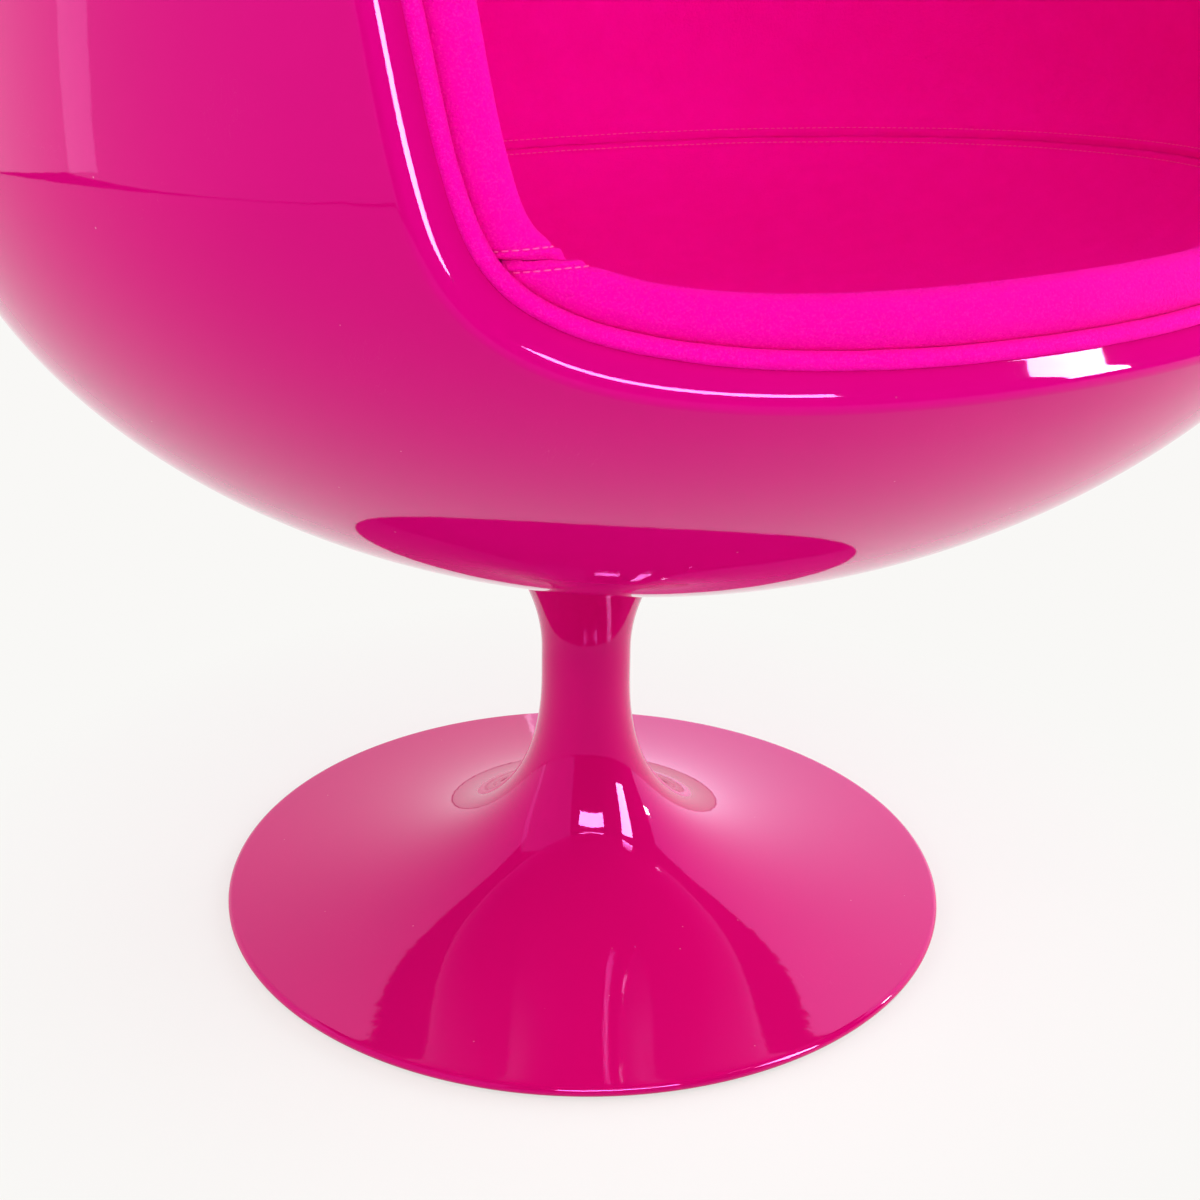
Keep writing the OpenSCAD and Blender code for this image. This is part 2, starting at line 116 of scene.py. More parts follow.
def opening(angle):
    """points of the opening's edge at these angles (degrees, 270 is the middle of the sill)"""
    a = np.radians(angle)
    c, s = np.cos(a), np.sin(a)
    low = s < 0
    px, pw = np.where(low, CORNER_X, CROWN), np.where(low, CORNER_W, CROWN)
    reach_w = np.where(low, OPEN_LOW, OPEN_HIGH)
    lo, hi = np.zeros_like(a), np.full_like(a, 1000.0)
    for _ in range(50):
        r = (lo + hi) / 2
        inside = (np.abs(r * c) / (OPEN_W / 2)) ** px + (np.abs(r * s) / reach_w) ** pw < 1
        lo, hi = np.where(inside, r, lo), np.where(inside, hi, r)
    w = OPEN_MID + lo * s
    x = lo * c * (1 + TAPER * np.minimum(0, lo * s) / OPEN_LOW)
    return np.stack([x, -np.sqrt(np.maximum(0, radius(w, SKIN) ** 2 - x * x)), w], -1)


class Edge:
    """frames round the opening's edge: P point, M into the opening, N out of the skin"""

    def __init__(self, count):
        f = np.arange(count) * 360.0 / count - 180
        a = 270 + f + 0.15 * np.degrees(np.sin(np.radians(3 * f)))
        self.angle = a
        self.P = opening(a)
        self.N = egg_normal(self.P, SKIN)
        self.M = unit(np.cross(self.N, unit(opening(a + 0.05) - opening(a - 0.05))))
        self.off_sill = np.abs((a - 270 + 180) % 360 - 180)
        self.lip = LIP_W + LIP_CORNER * np.exp(-((self.off_sill - CORNER_AT) / CORNER_SPREAD) ** 2)

    def at(self, u, d):
        """u along the skin into the opening, d below the skin"""
        u, d = np.broadcast_to(u, len(self.P))[:, None], np.broadcast_to(d, len(self.P))[:, None]
        return self.P + u * self.M - d * self.N

    def on_lip(self, a, h):
        """a along the lip's flat, h proud of it"""
        c, s = math.cos(TURN), math.sin(TURN)
        return self.at(a * c + h * s, a * s - h * c)

    def proud(self):
        """the direction that stands square on the lip's flat"""
        return math.sin(TURN) * self.M + math.cos(TURN) * self.N


edge = Edge(384)
print("opening", np.round(np.ptp(edge.P, axis=0)).tolist(), "mm across, deep and high")

# %% [markdown]
# The large surfaces are swept: rays leave a point on the egg's axis, turning from straight back
# to each frame of the edge, and every ray is followed until it meets the surface. The rings that
# this gives run from a pole at the back to the edge, and they never bunch up in the visible part.

# %% Sweeping a surface
EYE = np.array([0, 0, EGG_HIGH * 0.22])


def sweep(edge, share, s):
    """one ring of surface s, at a share of the way from the back pole to the edge"""
    d = unit(edge.P - EYE)
    turn = share * np.arccos(d[:, 1])
    e = unit(d * [1, 0, 1])
    ray = np.stack([e[:, 0] * np.sin(turn), np.cos(turn), e[:, 2] * np.sin(turn)], -1)
    lo, hi = np.zeros(len(ray)), np.full(len(ray), 1200.0)
    for _ in range(44):
        m = (lo + hi) / 2
        p = EYE + m[:, None] * ray
        inside = np.linalg.norm(p[:, :2], axis=1) < radius(p[:, 2], s)
        lo, hi = np.where(inside, m, lo), np.where(inside, hi, m)
    return EYE + lo[:, None] * ray


def pole(s):
    return sweep(edge, 0.0, s)[:1]


print("the skin's back pole is at", np.round(room(pole(SKIN)[0]), 3).tolist())

# %% [markdown]
# Rings become a mesh by joining neighbours with four-sided faces; mesh_of() smooths it. Every
# piece goes through piece(), which names it, gives it its finish, and fastens it to its body.

# %% Rings to mesh
def loft(rings, first=None, last=None, closed=False):
    """points and faces through rings of equal count, with poles or closed into a tube"""
    rings = np.asarray(rings)
    k, n = rings.shape[:2]
    points = [rings.reshape(-1, 3)]
    i = np.arange(n)
    faces = []
    for j in range(k if closed else k - 1):
        a, b = j * n, (j + 1) % k * n
        faces += np.stack([a + i, b + i, b + (i + 1) % n, a + (i + 1) % n], 1).tolist()
    count = k * n
    if first is not None:
        points.append(np.reshape(first, (1, 3)))
        faces += [[count, j, (j + 1) % n] for j in range(n)]
        count += 1
    if last is not None:
        points.append(np.reshape(last, (1, 3)))
        faces += [[count, (k - 1) * n + (j + 1) % n, (k - 1) * n + j] for j in range(n)]
    return np.concatenate(points), faces


def mesh_of(name, points, faces):
    mesh = bpy.data.meshes.new(name)
    mesh.from_pydata(np.asarray(points).tolist(), [], faces)
    mesh.validate()
    mesh.polygons.foreach_set("use_smooth", [True] * len(mesh.polygons))
    return mesh


def piece(name, mesh, body, material, replaces=()):
    obj = bpy.data.objects.new(name, mesh)
    bpy.context.scene.collection.objects.link(obj)
    mesh.materials.clear()
    mesh.materials.append(material)
    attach(obj, body)
    if replaces:
        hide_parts(*replaces)
    print(name, len(mesh.vertices), "points,", "size", [round(v, 3) for v in obj.dimensions])
    return obj

# %% [markdown]
# ## The shell
# The real shell is laid up in a split mould: a glass-fibre skin with a lacquered gel coat on
# both sides. Its mouth isn't cut raw. The skin turns in at a rounded edge and ends in a flat lip
# about a finger wide, a little wider in the lower corners, and that lip carries the long white
# highlight that draws the opening. Along the sill the flat turns in a few degrees more; along the
# sides it starts with a faint bead, and that bead is what draws the thin white line there. The
# rings crowd towards the edge because a reflection on a gloss surface shows every error of the
# mesh. A point attribute marks the lip, where the lacquer colour is painted a little paler:
# painted light where the lip faces the front and the felt.

# %% Shell rings
EDGE_R, NOSE_STEPS, BEAD_STEPS, BEAD_STEP = 10.0, 18, 6, 0.5
LIP_ANGLE, SILL_MORE, BEAD_ANGLE, SILL_END, SILL_FADE = 50, 8, 6, 51, 12  # degrees
LIP_BACK, LIP_BELOW = 2.4, 2.6  # the lip's end, from the engineering lip's, in mm
BEFORE_NOSE, SKIN_RUN = 1.5, 880  # mm of skin from the last swept ring, and from the pole
OUTER_RINGS, INNER_RINGS, NEAR_RINGS, NEAR_SHARE = 72, 36, 6, 0.97
LIP_LIGHT_RING, LIP_LIGHT_FADE = 76, 10  # the ring where the lip's painted light starts, and over how many rings it fades in


def rounded(p, q, steps):
    """section points round a corner: from p to q, bulging towards their corner"""
    k = [math.pi / 2 * j / steps for j in range(steps + 1)]
    return [(p[0] + (q[0] - p[0]) * math.sin(t), p[1] + (q[1] - p[1]) * (1 - math.cos(t))) for t in k]


def lip_section(edge):
    """the rounded edge and the lip as steps along the skin (u) and below it (d), one array each"""
    sill = 0.5 + 0.5 * np.cos(np.pi * np.clip((edge.off_sill - SILL_END) / SILL_FADE, 0, 1))
    flat, bead = np.radians(LIP_ANGLE + SILL_MORE * sill), np.radians(BEAD_ANGLE * (1 - sill))
    nose = flat + bead
    steps = [(nose * (j + 0.5) / NOSE_STEPS, EDGE_R * nose / NOSE_STEPS) for j in range(NOSE_STEPS)]
    steps += [(flat + bead * (1 - (j + 0.5) / BEAD_STEPS), BEAD_STEP) for j in range(BEAD_STEPS)]
    u, d, out = np.zeros_like(sill), np.zeros_like(sill), []
    for slope, length in steps:
        u, d = u + length * np.cos(slope), d + length * np.sin(slope)
        out.append((u, d))
    end_u, end_d = edge.lip * math.cos(TURN) - LIP_BACK, edge.lip * math.sin(TURN) + LIP_BELOW
    left = (end_d - d) / np.sin(flat)
    out += [(u + q * left * np.cos(flat), d + q * left * np.sin(flat)) for q in (0.25, 0.5, 0.75, 0.92, 1)]
    start = end_u - out[-1][0]
    return flat, start, [(u + start, d) for u, d in out]


def shell_rings(edge):
    """rings from the back pole over the skin, round the lip and back inside"""
    flat, start, section = lip_section(edge)
    last = 1 - (BEFORE_NOSE - start.min()) / SKIN_RUN
    near_edge = [NEAR_SHARE + (last - NEAR_SHARE) * j / (NEAR_RINGS - 1) for j in range(1, NEAR_RINGS)]
    shares = [NEAR_SHARE * (j / OUTER_RINGS) for j in range(1, OUTER_RINGS + 1)] + near_edge
    rings = [sweep(edge, s, SKIN) for s in shares] + [edge.at(start, 0.0)]
    rings += [edge.at(u, d) for u, d in section]
    (u, d), c, s = section[-1], np.cos(flat), np.sin(flat)
    tip = rounded((0, 0), (1.0, -1.0), 5)[1:] + [(1.0, -1.6), (1.0, -LIP_T + 0.5), (0.5, -LIP_T)]
    rings += [edge.at(u + da * c + dh * s, d + da * s - dh * c) for da, dh in tip]
    back = (SHELL_T * math.cos(TURN) - LIP_T) / math.sin(TURN)
    rings += [edge.at(back - 2, SHELL_T + 0.5)]
    rings += [sweep(edge, NEAR_SHARE * j / INNER_RINGS, egg(SHELL_T)) for j in range(INNER_RINGS, 0, -1)]
    return rings


def solid(name, points, faces):
    """a closed mesh whose faces all look outwards"""
    mesh = mesh_of(name, points, faces)
    bm = bmesh.new()
    bm.from_mesh(mesh)
    bmesh.ops.recalc_face_normals(bm, faces=bm.faces)
    bm.to_mesh(mesh)
    bm.free()
    return mesh


rings = shell_rings(edge)
pod = solid("pod_shell", *loft([room(r) for r in rings], room(pole(SKIN)), room(pole(egg(SHELL_T)))))
# painted light: the lip's rings get a paler lacquer colour through this point attribute
painted_lip_light = pod.attributes.new("painted_lip_light", "FLOAT", "POINT")
by_ring = [min(1, max(0, (j - LIP_LIGHT_RING) / LIP_LIGHT_FADE)) for j in range(len(rings))]
painted_lip_light.data.foreach_set("value", np.concatenate([np.repeat(by_ring, len(edge.P)), [0, 1]]))
print("shell of", len(rings), "rings")

# %% [markdown]
# Under the shell a flat round boss, as wide as the flared head of the pedestal, is moulded on so
# that the chair sits square on its bearing. Its top follows the skin from inside, so boss and
# shell read as one casting.

# %% Boss under the shell
BOSS_Z, HEAD_R, BOSS_INTO, BOSS_COUNT = 299.4, 84.0, 3, 192
BOSS_FOOT = [(30, 0), (60, 0), (78, 0), (82, 0.15), (83.2, 0.6), (83.8, 1.2), (84, 2)]


def skin_z(x, y):
    """height in the room (mm) at which a vertical line meets the underside of the skin"""
    lo, hi = 200.0, 500.0
    for _ in range(40):
        z = (lo + hi) / 2
        dy, dz = y + AHEAD, z - WIDE_Z
        v, w = dy * math.cos(LEAN) - dz * math.sin(LEAN), dy * math.sin(LEAN) + dz * math.cos(LEAN)
        inside = math.hypot(x, v) < float(radius(w, SKIN)) and w > -EGG_LOW
        lo, hi = (lo, z) if inside else (z, hi)
    return hi


def turns_of(count):
    return np.arange(count) * 2 * math.pi / count


def circle(r, z, count):
    """a ring round the swivel axis, from a radius and a height in mm"""
    t = turns_of(count)
    return np.stack([r * np.cos(t), r * np.sin(t), np.full(count, z)], 1) * MM


rim = [(HEAD_R * math.cos(t), HEAD_R * math.sin(t)) for t in turns_of(BOSS_COUNT)]
top = np.array([[x, y, skin_z(x, y) + BOSS_INTO] for x, y in rim])
boss_rings = [circle(r, BOSS_Z + lift, BOSS_COUNT) for r, lift in BOSS_FOOT]
boss_rings += [top * MM, top * MM * [0.6, 0.6, 1]]
boss = solid("pod_boss", *loft(boss_rings, [0, 0, BOSS_Z * MM], top.mean(0) * MM))
print("boss from", BOSS_Z, "to", round(top[:, 2].max(), 1))

# %% [markdown]
# ## The pedestal
# The foot is one aluminium casting, ground smooth and lacquered to match: a wide cone with a
# thin rolled rim, a flare that rises into a slim waist, and a head that opens again under the
# shell. It is turned about the swivel axis, so one profile gives the whole form. The same curve
# as in the engineering source is used, with steps fine enough for clean reflections.

# %% Pedestal profile
FOOT_R, NECK_R, RIM_R, RIM_Z = 251.5, 30.8, 3.5, 5.5
EDGE_Z, RISE, WAIST_LOW, WAIST_HIGH, HEAD_Z, FLARE = 9.0, 14.0, 170.1, 190.0, 296.9, 0.47
CAST_T, SLEEVE_R, RECESS_R = 6.0, 22.2, 60.6


def flare_z(r):
    q = min(1, max(0, (r - NECK_R) / (FOOT_R - NECK_R)))
    return EDGE_Z + RISE * (1 - q) + (WAIST_LOW - EDGE_Z - RISE) * (1 - q ** FLARE) ** (1 / FLARE)


def head_r(z):
    return NECK_R + (HEAD_R - NECK_R) * max(0, (z - WAIST_HIGH) / (HEAD_Z - WAIST_HIGH)) ** 2


print("flare", [round(flare_z(r), 1) for r in (31, 40, 60, 100, 200)])

# %% Turn the pedestal
PAD_H, COVER_TOP, LAND_R, HOLLOW_R, LIFT = 3.0, 5.5, 234.0, 246.0, 2.0
HUB_R, HUB_Z, RECESS_Z, HEAD_EDGE_R, FOOT_COUNT = 34.05, 30.0, 283.4, 1.4, 320
outer = [(HOLLOW_R, LIFT + 0.4), (HOLLOW_R + 0.4, LIFT)]
outer += [(FOOT_R + RIM_R * math.cos(t), RIM_Z + RIM_R * math.sin(t))
          for t in np.linspace(-math.pi / 2, math.pi / 2, 17)]
cone = [NECK_R + (FOOT_R - NECK_R) * q for q in (1 - np.linspace(0, 1, 97)[1:]) ** 1.9]
outer += [(r, flare_z(r)) for r in cone]
outer += [(NECK_R, z) for z in (175, 180, 185, WAIST_HIGH)]
outer += [(head_r(z), z) for z in np.linspace(WAIST_HIGH, HEAD_Z - HEAD_EDGE_R, 41)[1:]]
outer += [(HEAD_R - HEAD_EDGE_R * (1 - math.cos(t)), HEAD_Z - HEAD_EDGE_R * (1 - math.sin(t)))
          for t in np.linspace(0, math.pi / 2, 6)[1:]]
inner = [(RECESS_R, HEAD_Z), (RECESS_R, RECESS_Z), (SLEEVE_R, RECESS_Z), (SLEEVE_R, HUB_Z), (HUB_R, HUB_Z)]
inner += [(r, max(flare_z(r + CAST_T) - CAST_T, COVER_TOP)) for r in np.linspace(HUB_R, LAND_R, 40)]
inner += [(LAND_R, PAD_H), (HOLLOW_R, PAD_H)]
pedestal = solid("trumpet_foot", *loft([circle(r, z, FOOT_COUNT) for r, z in outer + inner], closed=True))
print("pedestal of", len(outer + inner), "rings,", 2 * (FOOT_R + RIM_R), "mm across")

# %% [markdown]
# ## The piping
# A cotton cord wrapped in the same felt fills the joint between lip and lining. It is glued in
# by hand, so its line and its thickness wander by a few tenths of a millimetre. wander() gives
# that slow drift round the opening; the padded band below uses it too.

# %% Piping
GAP, WELT_R, WELT_PROUD, SOFT_GAP, BAND_W, CROWN_H = 0.6, 4.5, 1.2, -1.1, 23.0, 4.6


def wander(angle, waves, seed):
    """a smooth closed random curve round the opening, about -1 to 1"""
    rng = np.random.default_rng(seed)
    a = np.radians(angle)
    return sum(np.sin(k * a + rng.uniform(0, 6.28)) * rng.uniform(0.5, 1) for k in waves) / len(waves) ** 0.5


fine = Edge(768)
welt_at = fine.lip + GAP + WELT_R + 0.12 * wander(fine.angle, (9, 14, 23, 37), 4)
welt_h = WELT_PROUD - WELT_R + 0.22 * wander(fine.angle, (7, 11, 19, 31), 5)
welt_r = WELT_R - 0.12 + 0.10 * wander(fine.angle, (13, 29, 47, 71), 6)
rings = [room(fine.on_lip(welt_at + welt_r * math.cos(t), welt_h + welt_r * math.sin(t)))
         for t in np.linspace(0, 2 * math.pi, 19)[:-1]]
piping = solid("lip_piping", *loft(rings, closed=True))
cord = room(fine.on_lip(welt_at, welt_h))
print("piping", round(float(np.linalg.norm(np.diff(cord, axis=0), axis=1).sum()), 2), "m long")

# %% [markdown]
# ## The linings
# Felt is stretched over moulded foam. The bowl runs up the wall, rolls over a firm padded band
# beside the piping, and dives into the joint. Each section from the back pole to the joint is
# one smooth line: points on the bowl, a Hermite curve that carries the wall's direction into the
# band, and a Catmull-Rom curve through the band's few chosen points.

# %% Lining sections
BAND = [(1.2, -1.75), (1.18, -0.5), (1.05, 0.55), (0.86, 1.0), (0.6, 1.0), (0.32, 0.7), (0.06, -0.6),
        (0.03, -1.6)]
ROLL, WALL_RINGS, BEND_RINGS = 0.86, 60, 18
TUCK_H, TUCK_D = (-9.2, -9.0), SHELL_T + 1.2
band_at = fine.lip + GAP + 2 * WELT_R + SOFT_GAP
band_w = LIP_W + GAP + 2 * WELT_R + SOFT_GAP + BAND_W - band_at


def band_ring(a, h):
    lift = 0.35 * wander(fine.angle, (5, 9, 16, 27), 7) * max(0, min(1, h + 1))
    return fine.on_lip(band_at + band_w * a, CROWN_H * h + lift)


def catmull(points, steps):
    """a smooth line through the points: steps new points in each span"""
    p = [np.asarray(q, float) for q in points]
    p = [2 * p[0] - p[1]] + p + [2 * p[-1] - p[-2]]
    out = []
    for j in range(1, len(p) - 2):
        a, b, c, d = p[j - 1:j + 3]
        for t in np.arange(steps) / steps:
            out.append(0.5 * (2 * b + (c - a) * t + (2 * a - 5 * b + 4 * c - d) * t * t
                              + (3 * b - a - 3 * c + d) * t ** 3))
    return out + [p[-2]]


wall = [sweep(fine, ROLL * j / WALL_RINGS, BOWL) for j in range(1, WALL_RINGS + 1)]
start, end = wall[-1], band_ring(*BAND[0])
run = np.linalg.norm(end - start, axis=1)[:, None]
go = unit(start - sweep(fine, ROLL - 0.004, BOWL)) * run
arrive = fine.proud() * run
bend = []
for t in np.linspace(0, 1, BEND_RINGS)[1:-1]:
    a, b = 2 * t ** 3 - 3 * t ** 2 + 1, t ** 3 - 2 * t ** 2 + t
    c, d = 3 * t ** 2 - 2 * t ** 3, t ** 3 - t ** 2
    bend.append(a * start + b * go + c * end + d * arrive)
roll = [band_ring(a, h) for a, h in catmull(BAND, 4)]
tuck = [fine.on_lip(fine.lip + GAP + WELT_R, TUCK_H[0]), fine.on_lip(fine.lip - 1, TUCK_H[1]),
        fine.at(-8, TUCK_D), fine.at(-24, TUCK_D)]
front = wall + bend + roll + tuck
print("lining sections of", len(front), "points")

# %% [markdown]
# Two covers meet in a level seam round the back of the bowl that climbs a little towards the
# front and crosses the padded band at each lower corner. A row of top-stitching runs on each
# side of it. The mesh is cut exactly along the seam and along lines beside it, then the seam is
# pressed in and the cloth next to it swells slightly, which is what makes the joint read as
# sewn and not as a drawn line. The felt is tight on thin foam in a hard bowl and has no room to
# sag, so its shape is given and not found by a cloth simulation. A point attribute marks the
# band near the opening, where the felt colour gets painted shade and painted glints.

# %% Seam cuts
SEAM, KINK, CLIMB = 63.5, -103.75, 0.114
ROW, CUT_REACH, NEAR_Z, NEAR_SPAN, ON_LINE = 4.7, 16, -52, 70, 0.03
LEVELS = (0.0, 0.7, 1.4, 2.2, 3.1, 3.9, ROW, 5.5, 6.4, 7.8, 10.0, 13.0)


def over_seam(p):
    """height of egg-frame points above the seam, in mm"""
    return p[..., 2] + SEAM - CLIMB * np.maximum(0, KINK - p[..., 1])


def cut(bm, faces, place, normal):
    """cuts these faces along a plane"""
    geom = set(faces)
    for f in faces:
        geom.update(f.verts)
        geom.update(f.edges)
    bmesh.ops.bisect_plane(bm, geom=list(geom), dist=0.02, plane_co=place, plane_no=normal)


def cut_level(bm, level):
    """cuts the lining along a line at this height above the seam, before and behind its kink"""
    for side in (1, -1):
        faces = []
        for f in bm.faces:
            c = f.calc_center_median()
            height = c.z + SEAM - CLIMB * max(0, KINK - c.y)
            if abs(height - level) < CUT_REACH and (c.y - KINK) * side > -1e-6:
                faces.append(f)
        normal = Vector((0, 0, 1) if side > 0 else (0, CLIMB, 1)).normalized()
        cut(bm, faces, (0, KINK, level - SEAM), normal)


points, faces = loft(front, pole(BOWL))
bm = bmesh.new()
bm.from_mesh(mesh_of("lining", points, faces))
cut(bm, [f for f in bm.faces if abs(f.calc_center_median().z - NEAR_Z) < NEAR_SPAN], (0, KINK, 0), (0, 1, 0))
for level in LEVELS:
    for sign in ((1, -1) if level else (1,)):
        cut_level(bm, sign * level)
bmesh.ops.recalc_face_normals(bm, faces=bm.faces)
bm.normal_update()
bm.verts.ensure_lookup_table()
P = np.array([v.co[:] for v in bm.verts])
N = np.array([v.normal[:] for v in bm.verts])
if (N[:, 1] * (P[:, 1] > 100)).sum() > 0:  # the normals should look into the bowl
    N = -N
F = over_seam(P)
print("seam cut into", len(P), "points")

# %% Press the seam in and split the covers
def beside(at, width):
    """1 on the lines this far from the seam, fading over this width"""
    return np.exp(-((np.abs(F) - at) / width) ** 2)


# the seam and the stitch rows pull in, and the felt swells between and beyond them
depth = 2.1 * beside(0, 1.5) + 0.75 * beside(ROW, 0.8)
depth -= 0.55 * beside(2.7, 1.1) + 0.5 * beside(8.5, 3.0)
ripple = 0.25 * np.sin(P[:, 0] / 9.0 + 1.3 * np.sin(P[:, 1] / 21.0)) * np.exp(-(F / 7) ** 2)
D = P - N * (depth + ripple)[:, None]
side_of = [np.mean([F[v.index] for v in f.verts]) for f in bm.faces]
loops = [[v.index for v in f.verts] for f in bm.faces]
steps = [(e.verts[0].index, e.verts[1].index) for e in bm.edges]
chains = {level: [(a, b) for a, b in steps if abs(F[a] - level) < ON_LINE and abs(F[b] - level) < ON_LINE]
          for level in (ROW, -ROW)}
bm.free()

SPLIT, TURNED_IN, GLINT_BAND_REACH, GLINT_BAND_FADE = 0.15, 9, 70, 34
edge_tree = KDTree(len(fine.P))
for i, p in enumerate(fine.P):
    edge_tree.insert(p, i)
edge_tree.balance()


def cover(name, sign):
    """one of the two covers: its own side of the seam, with the cloth turned in at the cut"""
    own = [l for l, s in zip(loops, side_of) if s * sign > 0]
    used = sorted({i for l in own for i in l})
    new = {i: j for j, i in enumerate(used)}
    pts = D[used].copy()
    seam_points = [i for i in used if abs(F[i]) < ON_LINE]
    for i in seam_points:
        pts[new[i], 2] += SPLIT * sign
    edges = {}
    for l in own:
        for a, b in zip(l, l[1:] + l[:1]):
            edges[frozenset((a, b))] = (a, b) if frozenset((a, b)) not in edges else None
    quads = [[new[i] for i in l] for l in own]
    hem = {i: len(pts) + j for j, i in enumerate(seam_points)}
    turned = [(D[i] - TURNED_IN * N[i] + [0, 0, SPLIT * sign]).tolist() for i in seam_points]
    pts = pts.tolist() + turned
    flap = [(a, b) for a, b in filter(None, edges.values()) if a in hem and b in hem]
    quads += [[new[b], new[a], hem[a], hem[b]] for a, b in flap]
    mesh = mesh_of(name, room(pts), quads)
    # this attribute marks the band near the opening, which gets painted shade and painted glints
    band_shade_glint = mesh.attributes.new("band_shade_glint", "FLOAT", "POINT")
    near = [float(np.clip((GLINT_BAND_REACH - edge_tree.find(p)[2]) / GLINT_BAND_FADE, 0, 1)) for p in pts]
    band_shade_glint.data.foreach_set("value", near)
    return mesh


seat_cover = cover("seat_cover", -1)
back_cover = cover("back_cover", 1)
print("covers", len(seat_cover.vertices), len(back_cover.vertices), "points")

# %% [markdown]
# The top-stitching is a thick polyester thread, one stitch every four to five millimetres. Each
# stitch is a small capsule that bites into the felt at both ends, laid on the line where the
# mesh was cut for it. The rows show best at the two corners where they cross the padded band.

# %% Stitches
PITCH, STITCH, THREAD_R, ROW_END = 4.4, 3.2, 0.36, 26.0
THREAD = ((0.0, 0.35, -0.9), (0.05, 0.8, -0.35), (0.2, 1, 0.15), (0.5, 1.05, 0.35), (0.8, 1, 0.15),
          (0.95, 0.8, -0.35), (1.0, 0.35, -0.9))


def walk(pairs):
    """orders loose edges into chains of point numbers"""
    nxt = {}
    for a, b in pairs:
        nxt.setdefault(a, []).append(b)
        nxt.setdefault(b, []).append(a)
    out, seen = [], set()
    for start in sorted(nxt, key=lambda k: len(nxt[k])):
        if start in seen:
            continue
        chain = [start]
        seen.add(start)
        while True:
            step = [k for k in nxt[chain[-1]] if k not in seen]
            if not step:
                break
            chain.append(step[0])
            seen.add(step[0])
        if len(chain) > 20:
            out.append(chain)
    return out


def capsule(a, b, up, r, sides=8):
    """a thread from a to b; THREAD gives its thickness and rise along the way"""
    d = unit(b - a)
    side = unit(np.cross(d, up))
    rise = np.cross(side, d)
    length = np.linalg.norm(b - a)
    rings = []
    for t, k, sink in THREAD:
        c = a + d * length * t + rise * sink * r
        ang = np.arange(sides) * 2 * math.pi / sides
        rings.append(c + r * k * (np.cos(ang)[:, None] * side + np.sin(ang)[:, None] * rise))
    return loft(rings, rings[0].mean(0), rings[-1].mean(0))


rng = np.random.default_rng(11)
points, faces = [], []
count = 0
for level, pairs in chains.items():
    for chain in walk(pairs):
        line, up = D[chain], N[chain]
        dist = np.concatenate([[0], np.cumsum(np.linalg.norm(np.diff(line, axis=0), axis=1))])
        at = ROW_END
        while at + STITCH < dist[-1] - ROW_END:
            ends = [np.array([np.interp(s, dist, line[:, k]) for k in range(3)]) for s in (at, at + STITCH)]
            lift = unit(np.array([np.interp(at + STITCH / 2, dist, up[:, k]) for k in range(3)]))
            tilt = np.cross(lift, unit(ends[1] - ends[0])) * rng.uniform(-0.12, 0.12)
            p, f = capsule(ends[0] + lift * 0.15 - tilt, ends[1] + lift * 0.15 + tilt, lift, THREAD_R)
            faces += [[i + count for i in q] for q in f]
            points.append(p)
            count += len(p)
            at += PITCH * rng.uniform(0.97, 1.03)
threads = solid("top_stitches", room(np.concatenate(points)), faces)
print("stitches", len(points))

# %% [markdown]
# ## Finishes
# A few effects are shared by several materials, so each is a node group that gives masks and
# normals only. The first is the surface of a sprayed gloss coat: the faint swell called orange
# peel, hairline scratches from wiping, and a little settled dust.

# %% Node helpers
def group(name, inputs, outputs):
    tree = bpy.data.node_groups.new(name, "ShaderNodeTree")
    for label, kind, value in inputs:
        s = tree.interface.new_socket(label, in_out="INPUT", socket_type=kind)
        if value is not None:
            s.default_value = value
    for label, kind in outputs:
        tree.interface.new_socket(label, in_out="OUTPUT", socket_type=kind)
    return tree, tree.nodes.new("NodeGroupInput"), tree.nodes.new("NodeGroupOutput")


def node(tree, kind, links=(), **values):
    """a node with its settings; links are (input name or number, source socket) pairs"""
    n = tree.nodes.new(kind)
    for key, value in values.items():
        if hasattr(n, key):
            setattr(n, key, value)
        else:
            n.inputs[key.replace("_", " ")].default_value = value
    for to, source in links:
        tree.links.new(source, n.inputs[to])
    return n


def math_node(tree, how, a, b=None, clamp=False):
    n = tree.nodes.new("ShaderNodeMath")
    n.operation, n.use_clamp = how, clamp
    for i, x in enumerate((a, b)):
        if x is None:
            continue
        if isinstance(x, (int, float)):
            n.inputs[i].default_value = x
        else:
            tree.links.new(x, n.inputs[i])
    return n.outputs[0]


def remap(tree, value, low, high, to_low=0.0, to_high=1.0):
    n = node(tree, "ShaderNodeMapRange", [("Value", value)])
    for label, x in (("From Min", low), ("From Max", high), ("To Min", to_low), ("To Max", to_high)):
        n.inputs[label].default_value = x
    return n.outputs["Result"]


def mix(tree, factor, a, b):
    n = tree.nodes.new("ShaderNodeMix")
    n.data_type = "RGBA"
    for socket, x in ((n.inputs[0], factor), (n.inputs[6], a), (n.inputs[7], b)):
        if isinstance(x, (int, float)):
            socket.default_value = x
        elif isinstance(x, tuple):
            socket.default_value = (*x, 1.0)
        else:
            tree.links.new(x, socket)
    return n.outputs[2]


def noise(tree, vector, scale, detail=2.0, rough=0.5):
    values = {"Scale": scale, "Detail": detail, "Roughness": rough}
    return node(tree, "ShaderNodeTexNoise", [("Vector", vector)], **values).outputs[0]


